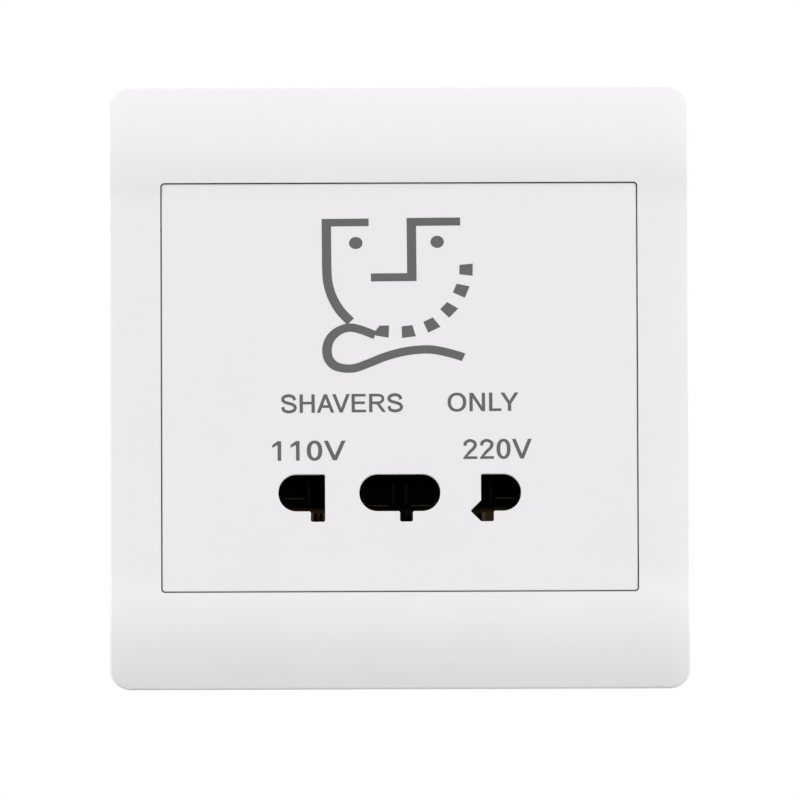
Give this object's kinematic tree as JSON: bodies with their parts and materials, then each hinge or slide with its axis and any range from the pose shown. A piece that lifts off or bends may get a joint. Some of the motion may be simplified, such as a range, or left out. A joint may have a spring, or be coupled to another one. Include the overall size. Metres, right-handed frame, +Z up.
{
  "type": "shaver socket",
  "caption": "Square white wall socket for shavers with a curved cover frame, flat inner panel, plug apertures for two voltages, and an isolating transformer in a rear case.",
  "frame": {"origin": "middle of the two wall screws, on the wall plane", "axes": "+X to the right seen from the front, +Y into the wall, +Z up"},
  "size_m": [0.0864, 0.0472, 0.0896],
  "materials": {
    "frame_white": "satin moulded plastic",
    "panel_white": "satin moulded plastic",
    "bracket_white": "matt moulded plastic",
    "case_white": "matt moulded plastic",
    "carrier_black": "matt moulded plastic",
    "contact_brass": "stamped strip",
    "core_steel": "varnished laminations",
    "bobbin_black": "moulded plastic",
    "copper_wire": "enamelled copper wire",
    "yellow_tape": "polyester tape",
    "cutout_case": "moulded case",
    "terminal_grey": "moulded plastic",
    "screw_steel": "zinc plated",
    "lead_brown": "insulated wire",
    "lead_blue": "insulated wire",
    "lead_red": "insulated wire",
    "lead_white": "insulated wire"
  },
  "bodies": {
    "root": {"cover_frame": "frame_white", "socket_panel": "panel_white", "mounting_bracket": "bracket_white", "rear_case": "case_white", "contact_carrier": "carrier_black", "contact_cover": "carrier_black", "contact_110v": "contact_brass", "contact_common": "contact_brass", "contact_220v": "contact_brass", "transformer_core": "core_steel", "winding_bobbin": "bobbin_black", "primary_winding": "copper_wire", "secondary_winding": "copper_wire", "primary_tape": "yellow_tape", "secondary_tape": "yellow_tape", "thermal_cutout": "cutout_case", "terminal_block": "terminal_grey", "live_clamp": "contact_brass", "neutral_clamp": "contact_brass", "terminal_screws": "screw_steel", "case_screws": "screw_steel", "live_lead": "lead_brown", "cutout_lead": "lead_brown", "neutral_lead": "lead_blue", "common_lead": "lead_white", "lead_110v": "lead_red", "lead_220v": "lead_red"}
  },
  "joints": []
}
